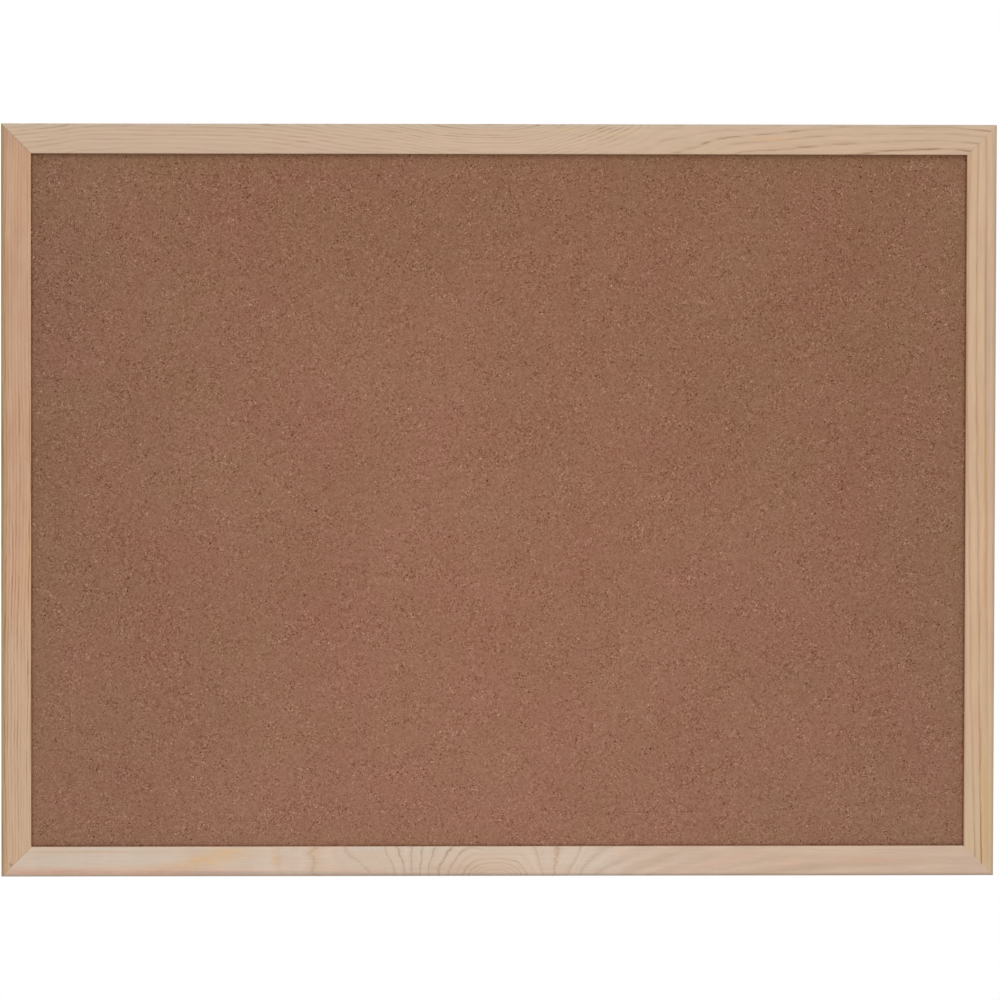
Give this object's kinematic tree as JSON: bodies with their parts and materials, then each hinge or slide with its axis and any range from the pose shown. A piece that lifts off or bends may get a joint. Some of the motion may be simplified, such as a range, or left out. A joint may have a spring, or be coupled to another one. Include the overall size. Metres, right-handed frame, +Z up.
{
  "type": "framed cork board",
  "caption": "Landscape cork pin board in a mitred pine frame, with swinging D-rings on the back to hang it on a wall.",
  "frame": {"origin": "midway between the two wall nails that the raised rings hang on, in the plane of the frame's back face", "axes": "+X to the right and +Z up for someone facing the cork, +Y out of the back towards the wall; the cork faces -Y"},
  "size_m": [0.6, 0.0202, 0.454],
  "materials": {
    "pine": "matte, pale knot-free pine, thinly sealed",
    "cork": "matte fine-grained composition cork",
    "softboard": "matte fibre softboard",
    "kraft_liner": "matte brown kraft paper",
    "bare_steel": "satin bare steel strip",
    "plated_steel": "bright zinc plated steel"
  },
  "bodies": {
    "board": {"top_rail": "pine", "bottom_rail": "pine", "left_stile": "pine", "right_stile": "pine", "backing_liner": "kraft_liner", "core_board": "softboard", "cork_sheet": "cork", "v_nail_top_left_outer": "bare_steel", "v_nail_top_left_inner": "bare_steel", "v_nail_top_right_outer": "bare_steel", "v_nail_top_right_inner": "bare_steel", "v_nail_bottom_left_outer": "bare_steel", "v_nail_bottom_left_inner": "bare_steel", "v_nail_bottom_right_outer": "bare_steel", "v_nail_bottom_right_inner": "bare_steel", "hanger_strap_left": "plated_steel", "hanger_strap_right": "plated_steel", "hanger_screw_left_upper": "plated_steel", "hanger_screw_left_lower": "plated_steel", "hanger_screw_right_upper": "plated_steel", "hanger_screw_right_lower": "plated_steel"},
    "left_ring": {"hanger_ring_left": "plated_steel"},
    "right_ring": {"hanger_ring_right": "plated_steel"}
  },
  "joints": [
    {"name": "left_ring_swing", "type": "hinge", "parent": "board", "child": "left_ring", "pos_m": [-0.291, 0.00215, -0.0111], "axis": [1, 0, 0], "range_deg": [0, 180]},
    {"name": "right_ring_swing", "type": "hinge", "parent": "board", "child": "right_ring", "pos_m": [0.291, 0.00215, -0.0111], "axis": [1, 0, 0], "range_deg": [0, 180]}
  ]
}
